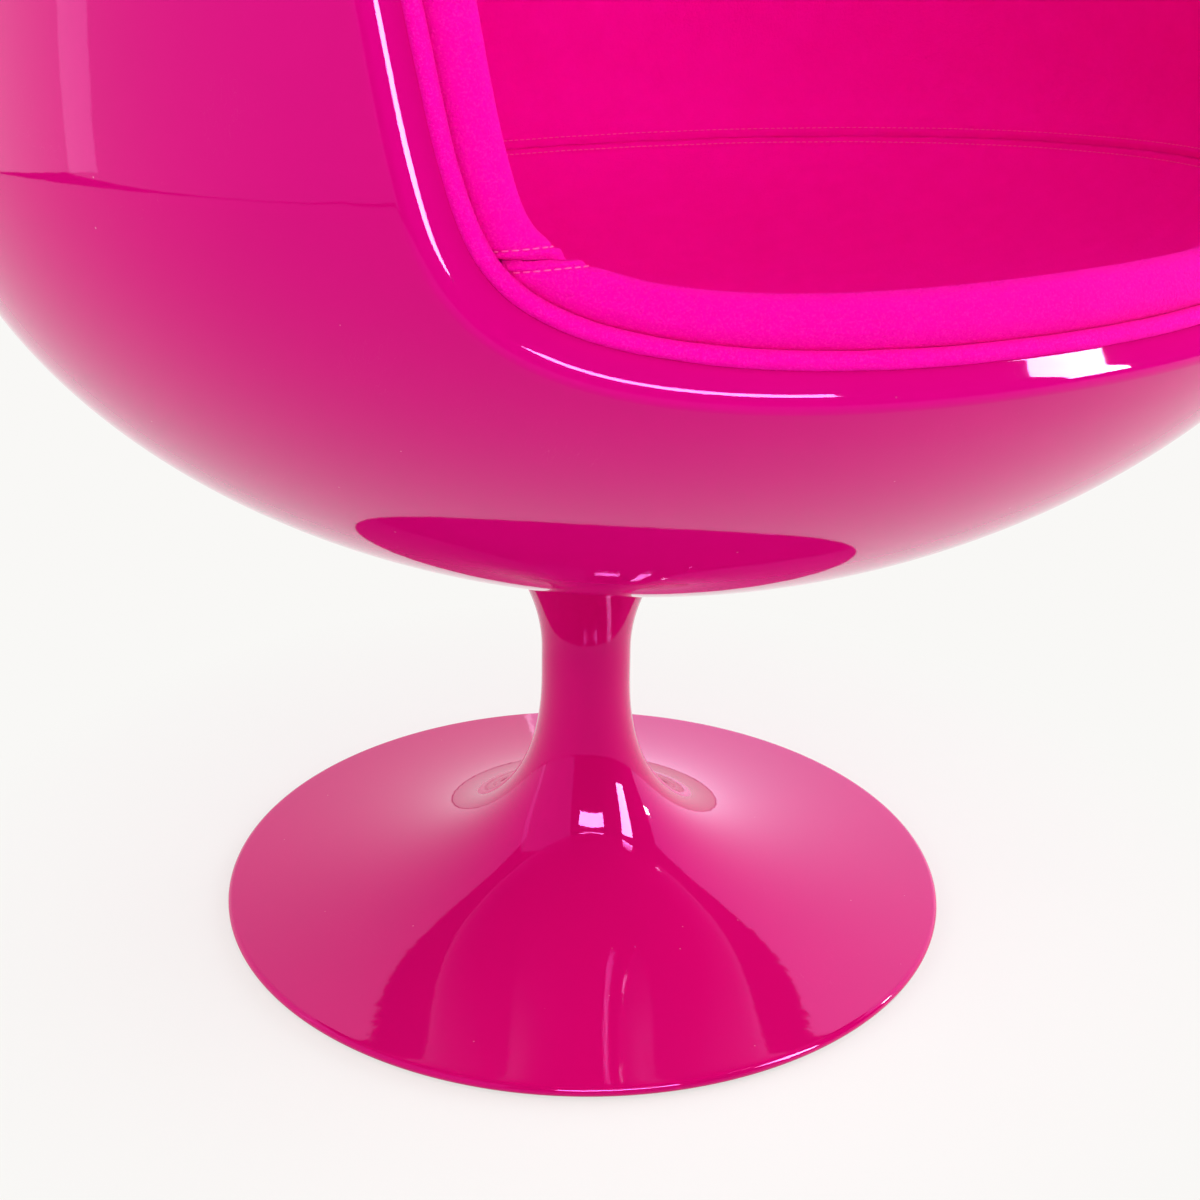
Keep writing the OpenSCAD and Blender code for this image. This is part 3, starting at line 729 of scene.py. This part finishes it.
def material(name, color, rough, **sockets):
    m = bpy.data.materials.new(name)
    m.use_nodes = True
    shader = m.node_tree.nodes["Principled BSDF"]
    shader.inputs["Base Color"].default_value = (*color, 1)
    shader.inputs["Roughness"].default_value = rough
    for key, value in sockets.items():
        shader.inputs[key.replace("_", " ")].default_value = value
    place = node(m.node_tree, "ShaderNodeTexCoord").outputs["Object"]
    m.diffuse_color = (*color, 1)
    return m, m.node_tree, shader, place


def use(tree, shared, place, **values):
    """a shared group in this material, laid on the object's own coordinates"""
    g = node(tree, "ShaderNodeGroup")
    g.node_tree = shared
    for key, value in values.items():
        g.inputs[key].default_value = value
    tree.links.new(place, g.inputs["Vector"])
    return g


# %% Gloss coat group
tree, gin, gout = group(
    "Gloss coat",
    [("Vector", "NodeSocketVector", None), ("Peel", "NodeSocketFloat", 0.02),
     ("Wear", "NodeSocketFloat", 1.0)],
    [("Normal", "NodeSocketVector"), ("Dust", "NodeSocketFloat"), ("Haze", "NodeSocketFloat")])
vector = gin.outputs["Vector"]
peel = noise(tree, vector, 130, 2, 0.45)
swell = noise(tree, vector, 9, 1, 0.4)
fine_peel = math_node(tree, "MULTIPLY", peel, gin.outputs["Peel"])
height = math_node(tree, "ADD", fine_peel, math_node(tree, "MULTIPLY", swell, 0.10))
bump = node(tree, "ShaderNodeBump", [("Height", height)], Strength=0.5, Distance=0.001)
specks = node(tree, "ShaderNodeTexVoronoi", [("Vector", vector)], Scale=95)
tiny = remap(tree, specks.outputs["Distance"], 0.055, 0.040)
pick = node(tree, "ShaderNodeSeparateColor", [("Color", specks.outputs["Color"])]).outputs[0]
rare = remap(tree, pick, 0.90, 0.905)
dust = math_node(tree, "MULTIPLY", math_node(tree, "MULTIPLY", tiny, rare), gin.outputs["Wear"], clamp=True)
stretch = node(tree, "ShaderNodeMapping", [("Vector", vector)], Scale=(60, 7, 11), Rotation=(0.4, 0.7, 0.3))
lines = noise(tree, stretch.outputs[0], 9, 1, 0.3)
hair = remap(tree, math_node(tree, "ABSOLUTE", math_node(tree, "SUBTRACT", lines, 0.5)), 0.0035, 0.0)
where = remap(tree, noise(tree, vector, 14, 2, 0.5), 0.57, 0.65)
haze = math_node(tree, "MULTIPLY", math_node(tree, "MULTIPLY", hair, where), gin.outputs["Wear"], clamp=True)
for label, source in (("Normal", bump.outputs[0]), ("Dust", dust), ("Haze", haze)):
    tree.links.new(source, gout.inputs[label])
gloss_coat = tree
print("gloss group", len(tree.nodes), "nodes")


# %% [markdown]
# The lacquer is a saturated cerise under a clear gloss. Its mirror reflection is tinted pink at
# steep angles, because on the real coat the white of the room never washes the colour out until
# the surface is seen edge-on. On the lip the colour is painted a little paler: painted light
# where the lip faces the front and the felt. A point attribute carries that colour in.

# %% Lacquers
CLEAN_GLOSS, HAZY_GLOSS, COAT_IOR, COAT_TINT = 0.035, 0.09, 1.45, (1.0, 0.12, 1.0, 1.0)


def lacquer(name, color, peel, wear, lip=None):
    m, tree, shader, place = material(name, color, CLEAN_GLOSS, Specular_Tint=COAT_TINT, IOR=COAT_IOR)
    g = use(tree, gloss_coat, place, Peel=peel, Wear=wear)
    tone = remap(tree, noise(tree, place, 3.5, 2, 0.5), 0.3, 0.7)
    pale = tuple(min(1, c * 1.04) for c in color)
    deep = tuple(c * 0.97 for c in color)
    body = mix(tree, tone, deep, pale)
    if lip:
        # painted light: the lip's paler colour is mixed in where the point attribute marks it
        lip_light_mask = node(tree, "ShaderNodeAttribute", attribute_name="painted_lip_light").outputs["Fac"]
        body = mix(tree, lip_light_mask, body, lip)
    dusty = mix(tree, math_node(tree, "MULTIPLY", g.outputs["Dust"], 0.35), body, (0.9, 0.45, 0.62))
    hazy = mix(tree, math_node(tree, "MULTIPLY", g.outputs["Haze"], 0.10), dusty, (0.95, 0.25, 0.5))
    tree.links.new(hazy, shader.inputs["Base Color"])
    tree.links.new(remap(tree, g.outputs["Haze"], 0, 1, CLEAN_GLOSS, HAZY_GLOSS), shader.inputs["Roughness"])
    tree.links.new(g.outputs["Normal"], shader.inputs["Normal"])
    return m


# the lip colour is painted light: paler where the lip faces the front and the felt
shell_lacquer = lacquer("Cerise lacquer, moulded shell", (0.525, 0.001, 0.146), 0.03, 1.0,
                        lip=(0.60, 0.001, 0.188))
# the foot's colour is painted a shade deeper and less blue than the shell's: painted shade and pink bounce
# light under the shell
foot_lacquer = lacquer("Cerise lacquer, cast foot", (0.50, 0.001, 0.116), 0.045, 0.8)
print("lacquers ready")

# %% [markdown]
# Felted wool shows no weave. What it shows is a short nap: millions of fibres that give the
# surface a soft, slightly mottled tooth, and that catch light at the crests as paler specks; those
# specks are painted glints in the colour. The group makes the nap's bumps at two sizes, the mottle
# and the painted glints, and is shared by the covers and the piping. In the bowl the felt lies
# quiet; over the band near the opening the colour is painted a shade deeper as painted shade and
# shows the painted glints, so the covers mix that in by a point attribute.

# %% Felt group
tree, gin, gout = group(
    "Felt fibres and glints",
    [("Vector", "NodeSocketVector", None), ("Size", "NodeSocketFloat", 1.0)],
    [("Normal", "NodeSocketVector"), ("Glint", "NodeSocketFloat"), ("Mottle", "NodeSocketFloat")])
vector = node(tree, "ShaderNodeVectorMath", [(0, gin.outputs["Vector"]), ("Scale", gin.outputs["Size"])],
              operation="SCALE").outputs[0]
fibre = noise(tree, vector, 1300, 3, 0.7)
clump = noise(tree, vector, 520, 3, 0.65)
height = math_node(tree, "ADD", math_node(tree, "MULTIPLY", fibre, 0.5), clump)
bump = node(tree, "ShaderNodeBump", [("Height", height)], Strength=0.7, Distance=0.0018)
# pale specks where fibre crests catch light: painted glints for the colour
glint = remap(tree, noise(tree, vector, 950, 3, 0.7), 0.51, 0.62)
mottle = remap(tree, noise(tree, vector, 55, 3, 0.6), 0.3, 0.7)
for label, source in (("Normal", bump.outputs[0]), ("Glint", glint), ("Mottle", mottle)):
    tree.links.new(source, gout.inputs[label])
felt_fibres_and_glints = tree
print("felt group", len(tree.nodes), "nodes")

# %% Felts
# the band near the opening is painted a shade deeper as painted shade; the specks are painted glints
QUIET, BAND_SHADE_TONE, GLINT_SHARE = (0.975, 0.9, 0.93), (0.91, 0.6, 0.80), 0.75


def shade(color, by):
    return tuple(c * k for c, k in zip(color, by))


def felt(name, color, pale, size, painted_band=None):
    m, tree, shader, place = material(
        name, color, 1.0, Specular_IOR_Level=0.05, Specular_Tint=(1.0, 0.05, 0.6, 1.0),
        Sheen_Weight=0.12, Sheen_Roughness=0.4, Sheen_Tint=(1.0, 0.03, 0.6, 1.0))
    g = use(tree, felt_fibres_and_glints, place, Size=size)
    body = mix(tree, g.outputs["Mottle"], shade(color, QUIET), color)
    # the paler specks are painted glints
    amount = math_node(tree, "MULTIPLY", g.outputs["Glint"], GLINT_SHARE)
    if painted_band:
        # over the band the colour is painted darker as painted shade, and the painted glints show only there
        band = node(tree, "ShaderNodeAttribute", attribute_name=painted_band).outputs["Fac"]
        amount = math_node(tree, "MULTIPLY", amount, band)
        body = mix(tree, band, body, shade(color, BAND_SHADE_TONE))
    tree.links.new(mix(tree, amount, body, pale), shader.inputs["Base Color"])
    tree.links.new(g.outputs["Normal"], shader.inputs["Normal"])
    return m


seat_felt = felt("Pink felt, covers", (0.985, 0.001, 0.45), (0.96, 0.012, 0.41), 1.0, painted_band="band_shade_glint")
# on the piping the painted glints show all over
piping_felt = felt("Pink felt, piping", (0.96, 0.001, 0.40), (1.0, 0.015, 0.48), 1.15)
thread, tree, shader, place = material("Pink thread", (0.96, 0.03, 0.42), 0.6, Specular_IOR_Level=0.15)
twist = node(tree, "ShaderNodeTexWave", [("Vector", place)], Scale=900, Distortion=1.5)
ply = mix(tree, twist.outputs["Fac"], (0.90, 0.02, 0.34), (1.0, 0.05, 0.46))
tree.links.new(ply, shader.inputs["Base Color"])
print("felts ready")

# %% [markdown]
# The inner works are hidden in use but show when the chair is taken apart: birch plywood, zinc
# plate, turned steel, bearing bronze, nylon, cast iron and rubber. Metal and moulded pieces share
# a group of fine surface marks.

# %% Fine marks group
tree, gin, gout = group(
    "Fine marks",
    [("Vector", "NodeSocketVector", None), ("Stretch", "NodeSocketVector", (1.0, 1.0, 1.0)),
     ("Size", "NodeSocketFloat", 200.0)],
    [("Normal", "NodeSocketVector"), ("Tone", "NodeSocketFloat")])
vector = node(tree, "ShaderNodeVectorMath", [(0, gin.outputs["Vector"]), (1, gin.outputs["Stretch"])],
              operation="MULTIPLY").outputs[0]
marks = node(tree, "ShaderNodeTexNoise", [("Vector", vector), ("Scale", gin.outputs["Size"])],
             Detail=4.0, Roughness=0.6)
bump = node(tree, "ShaderNodeBump", [("Height", marks.outputs[0])], Strength=0.25, Distance=0.0005)
tree.links.new(bump.outputs[0], gout.inputs["Normal"])
tree.links.new(remap(tree, marks.outputs[0], 0.3, 0.7), gout.inputs["Tone"])
fine_marks = tree
print("fine marks group", len(tree.nodes), "nodes")


# %% Inner finishes
def plain(name, dark, light, rough, size=200.0, stretch=(1, 1, 1), **sockets):
    m, tree, shader, place = material(name, light, rough, **sockets)
    g = use(tree, fine_marks, place, Size=size, Stretch=stretch)
    tree.links.new(mix(tree, g.outputs["Tone"], dark, light), shader.inputs["Base Color"])
    tree.links.new(g.outputs["Normal"], shader.inputs["Normal"])
    worn = remap(tree, g.outputs["Tone"], 0, 1, min(1, rough * 1.15), rough * 0.85)
    tree.links.new(worn, shader.inputs["Roughness"])
    return m


LATHE_MARKS = (0.2, 0.2, 30)
inner_finish = {
    "plywood": plain("Birch plywood", (0.47, 0.30, 0.16), (0.66, 0.47, 0.28), 0.6, 60.0, (1, 12, 30)),
    "zinc_steel": plain("Zinc plate", (0.42, 0.43, 0.45), (0.62, 0.63, 0.66), 0.35, 300.0, Metallic=1.0),
    "turned_steel": plain("Turned steel", (0.40, 0.40, 0.41), (0.56, 0.56, 0.57), 0.25, 90.0, LATHE_MARKS,
                          Metallic=1.0),
    "bronze": plain("Bearing bronze", (0.44, 0.26, 0.09), (0.62, 0.39, 0.15), 0.3, 90.0, LATHE_MARKS,
                    Metallic=1.0),
    "bush_plastic": plain("Nylon bush", (0.60, 0.58, 0.52), (0.74, 0.72, 0.66), 0.5, 150.0),
    "ballast_iron": plain("Cast iron", (0.035, 0.035, 0.038), (0.08, 0.08, 0.085), 0.7, 350.0),
    "cover_plastic": plain("Grey cover", (0.07, 0.07, 0.075), (0.11, 0.11, 0.115), 0.55, 400.0),
    "pad_rubber": plain("Rubber pad", (0.012, 0.012, 0.013), (0.025, 0.025, 0.027), 0.8, 500.0),
}
slot_of = {part["node"]: part["material_slot"] for part in frame["record"]["subparts"]}
for name, obj in frame["nodes"].items():
    if slot_of.get(name) in inner_finish:
        obj.data.materials.clear()
        obj.data.materials.append(inner_finish[slot_of[name]])
print("inner finishes", len(inner_finish))

# %% [markdown]
# ## Putting the pieces on
# Everything above the bearing turns with the seat; only the pedestal belongs to the base. Five
# pieces replace the engineering solid they stand for, which is hidden; the boss and the stitches
# replace nothing.

# %% Pieces
piece("pod_shell", pod, "seat", shell_lacquer, ["outer_shell"])
piece("pod_boss", boss, "seat", shell_lacquer)
piece("trumpet_foot", pedestal, "base", foot_lacquer, ["pedestal"])
lip_piping = piece("lip_piping", piping, "seat", piping_felt, ["rim_welt"])
seat_pad = piece("seat_cover", seat_cover, "seat", seat_felt, ["seat_lining"])
back_pad = piece("back_cover", back_cover, "seat", seat_felt, ["back_lining"])
piece("top_stitches", threads, "seat", thread)

# %% [markdown]
# ## Camera, floor and light
# The photograph was taken from the chair's right front, a little above the seat, with a long
# lens. The numbers are the camera's distance and height, its turn to the chair and its pitch.

# %% Camera
AZ, AWAY, HIGH = math.radians(-28), 1.29686, 0.80812
PITCH, PAN, TILT = math.radians(24.197), math.radians(0.402), math.radians(0.900)
FOCAL_PX, PICTURE_PX, SENSOR = 2074.9, 1200, 36.0
heading, right = Vector((-math.sin(AZ), math.cos(AZ), 0)), Vector((math.cos(AZ), math.sin(AZ), 0))
ahead = math.cos(PAN) * heading + math.sin(PAN) * right
across = -math.sin(PAN) * heading + math.cos(PAN) * right
aim = math.cos(PITCH) * ahead - math.sin(PITCH) * Vector((0, 0, 1))
up = across.cross(aim)
camera_right = math.cos(TILT) * across + math.sin(TILT) * up
camera_up = -math.sin(TILT) * across + math.cos(TILT) * up
data = bpy.data.cameras.new("camera")
data.sensor_width, data.lens = SENSOR, FOCAL_PX / PICTURE_PX * SENSOR
data.clip_start, data.clip_end = 0.05, 60
camera = bpy.data.objects.new("camera", data)
bpy.context.scene.collection.objects.link(camera)
turned = Matrix((camera_right, camera_up, -aim)).transposed().to_4x4()
camera.matrix_world = Matrix.Translation((math.sin(AZ) * AWAY, -math.cos(AZ) * AWAY, HIGH)) @ turned
bpy.context.scene.camera = camera
bpy.context.scene.view_settings.view_transform = "Standard"
print("lens", round(data.lens, 2), "mm")

# %% [markdown]
# The floor is a pale studio sweep. Round the foot the camera sees its real shading, which holds
# the soft contact shadow; farther out it fades to the even off-white of the photograph's ground.
# The lacquer mirrors the same ground. Scattered light meets the plain pale paint, so the chair is
# lit by an ordinary floor.

# %% Floor
def looked_at(tree):
    """1 for the rays that see the background: the camera's, a mirror's and those through glass"""
    path = node(tree, "ShaderNodeLightPath")
    mirror = math_node(tree, "MAXIMUM", path.outputs["Is Glossy Ray"], path.outputs["Is Transmission Ray"])
    return math_node(tree, "MAXIMUM", path.outputs["Is Camera Ray"], mirror)


GROUND, FLOOR_HALF = (0.947, 0.939, 0.921), 14.0
SHADOW_END, EVEN_FROM, EVEN_NEAR = 0.255, 0.50, 0.66
sheet = bpy.data.meshes.new("studio_floor")
bm = bmesh.new()
bmesh.ops.create_grid(bm, x_segments=24, y_segments=24, size=FLOOR_HALF)
bm.to_mesh(sheet)
bm.free()
floor = bpy.data.objects.new("studio_floor", sheet)
bpy.context.scene.collection.objects.link(floor)
ground, tree, shader, place = material("Studio floor", (0.80, 0.79, 0.78), 0.9, Specular_IOR_Level=0.0)
scuff = remap(tree, noise(tree, place, 2.5, 4, 0.6), 0.3, 0.7)
tree.links.new(mix(tree, scuff, (0.78, 0.765, 0.75), (0.81, 0.795, 0.78)), shader.inputs["Base Color"])
away = node(tree, "ShaderNodeVectorMath", [(0, place)], operation="LENGTH").outputs["Value"]
even = remap(tree, away, SHADOW_END, EVEN_FROM, EVEN_NEAR, 1.0)
seen = looked_at(tree)
sweep_light = node(tree, "ShaderNodeEmission", Color=(*GROUND, 1), Strength=1.0)
share = math_node(tree, "MULTIPLY", even, seen)
blend = node(tree, "ShaderNodeMixShader", [(0, share), (1, shader.outputs[0]), (2, sweep_light.outputs[0])])
tree.links.new(blend.outputs[0], tree.nodes["Material Output"].inputs["Surface"])
sheet.materials.append(ground)
print("floor", 2 * FLOOR_HALF, "m wide")

# %% [markdown]
# The reflections tell where the studio's lights stood. Tall white walls close the room behind
# and beside the chair; between them, round the camera, it is dark. Two soft boxes and a small
# round lamp in the dark part draw the white streaks and nothing else: only mirrored rays meet
# them (shining=False), and a green gel answers the coat's pink tint, so the streaks come out
# white. The fills do the opposite (mirrored=False): they model the felt and the lacquer's own
# colour softly and leave no second set of streaks. A small fill above the seat lifts the bowl.
# Radiance 1 is white paper in full light.

# %% Lamps
WATTS_PER_M2 = 4  # what a panel of radiance 1 takes


def area(name, width, height, radiance, place, facing, mirrored=True, shining=True, color=(1, 1, 1)):
    data = bpy.data.lights.new(name, "AREA")
    data.shape, data.size, data.size_y = "RECTANGLE", width, height
    data.energy, data.color = radiance * WATTS_PER_M2 * width * height, color
    obj = bpy.data.objects.new(name, data)
    bpy.context.scene.collection.objects.link(obj)
    obj.location = place
    obj.rotation_euler = facing.to_track_quat("Z", "Y").to_euler()
    obj.visible_camera, obj.visible_glossy, obj.visible_diffuse = False, mirrored, shining
    return obj


def wall_light(name, az, distance, width, low, high, radiance, shift=0.0, **how):
    """an upright panel at this azimuth that faces the swivel axis"""
    a = math.radians(az)
    out, along = Vector((math.sin(a), -math.cos(a), 0)), Vector((math.cos(a), math.sin(a), 0))
    place = out * distance + along * shift + Vector((0, 0, (low + high) / 2))
    return area(name, width, high - low, radiance, place, out, **how)


def soft_box(name, az, el, distance, width, height, radiance, target=(0, 0, 0.35), **how):
    """a box seen from the target at this azimuth and elevation"""
    a, e = math.radians(az), math.radians(el)
    d = Vector((math.sin(a) * math.cos(e), -math.cos(a) * math.cos(e), math.sin(e)))
    return area(name, width, height, radiance, Vector(target) + d * distance, d, **how)


# %% Place the lamps
wall_light("back wall", -155, 2.4, 5.3, 0.02, 2.9, 1.05, shift=-0.23)
wall_light("right wall", 108, 2.2, 4.1, 0.02, 2.3, 1.50, shift=0.32, color=(1.0, 0.92, 1.12))
wall_light("left wall", -82, 2.6, 3.4, 0.02, 3.4, 0.85)
GEL = (0.45, 1.0, 0.5)
soft_box("front box", -16.5, 33.5, 3.2, 1.8, 0.55, 90, shining=False, color=GEL)
soft_box("tall strip", 36.5, 22, 3.0, 0.60, 1.75, 90, shining=False, color=GEL)
soft_box("round lamp", 72, 14, 3.0, 0.22, 0.22, 120, shining=False, color=GEL)
soft_box("front fill", -16.5, 33, 3.2, 1.9, 0.55, 3.0, mirrored=False)
soft_box("strip fill", 36.5, 22, 3.0, 0.95, 1.75, 1.6, mirrored=False)
soft_box("low front fill", -5, 18, 3.0, 3.0, 1.6, 1.5, mirrored=False)
soft_box("high front fill", 0, 52, 3.0, 2.6, 1.6, 1.6, mirrored=False)
soft_box("right fill", 80, 30, 3.0, 2.6, 2.0, 1.8, mirrored=False)
soft_box("low right fill", 68, 2, 3.0, 2.6, 0.9, 3.0, mirrored=False)
soft_box("left fill", -95, 30, 3.0, 2.6, 2.0, 1.25, mirrored=False)
area("cavity fill", 0.36, 0.36, 0.60, Vector((0.08, -0.26, 0.95)), Vector((0.3, -0.7, 0.9)), mirrored=False)

# %% [markdown]
# Behind the lamps the photographer's room is dark: the front of the foot keeps its deep colour
# inside two edges, and so do the lip and the front of the shell. A pale room would wash them out.
# A black curtain hangs right round the studio, closes overhead, and its foot lies on the floor
# behind the walls. Only mirrored rays meet it.

# %% Black curtain
CURTAIN_R, HEM_R, HEM_Z, CEILING_Z, FOLDS = 4.0, 2.62, 0.004, 3.7, 48
turns = np.linspace(0, 2 * math.pi, FOLDS, endpoint=False)
hem = [(r * math.sin(a), -r * math.cos(a), z)
       for r, z in ((HEM_R, HEM_Z), (CURTAIN_R, HEM_Z), (CURTAIN_R, CEILING_Z)) for a in turns]
panels = [(k + i, k + (i + 1) % FOLDS, k + FOLDS + (i + 1) % FOLDS, k + FOLDS + i)
          for k in (0, FOLDS) for i in range(FOLDS)]
panels.append(tuple(range(2 * FOLDS, 3 * FOLDS)))
cloth = bpy.data.meshes.new("black_curtain")
cloth.from_pydata(hem, [], panels)
curtain = bpy.data.objects.new("black_curtain", cloth)
bpy.context.scene.collection.objects.link(curtain)
curtain.visible_camera = curtain.visible_diffuse = False
curtain.visible_transmission = curtain.visible_shadow = False
velvet, tree, shader, place = material("Black curtain", (0.01, 0.01, 0.01), 1.0, Specular_IOR_Level=0.0)
weave = mix(tree, noise(tree, place, 3.0), (0.006, 0.006, 0.006), (0.014, 0.014, 0.014))
tree.links.new(weave, shader.inputs["Base Color"])
cloth.materials.append(velvet)
print("curtain of", len(panels), "panels")

# %% [markdown]
# The world is a pale studio for the rays that look at it, and gives almost no light of its own.

# %% World
SKY_GLOW = 0.04
world = bpy.data.worlds.new("studio")
bpy.context.scene.world = world
world.use_nodes = True
tree = world.node_tree
sky = tree.nodes["Background"]
sky.inputs["Color"].default_value, sky.inputs["Strength"].default_value = (1, 1, 1, 1), SKY_GLOW
seen = node(tree, "ShaderNodeBackground", Color=(*GROUND, 1), Strength=1.0)
both = node(tree, "ShaderNodeMixShader", [(0, looked_at(tree)), (1, sky.outputs[0]), (2, seen.outputs[0])])
tree.links.new(both.outputs[0], tree.nodes["World Output"].inputs["Surface"])
print("sky of strength", SKY_GLOW)
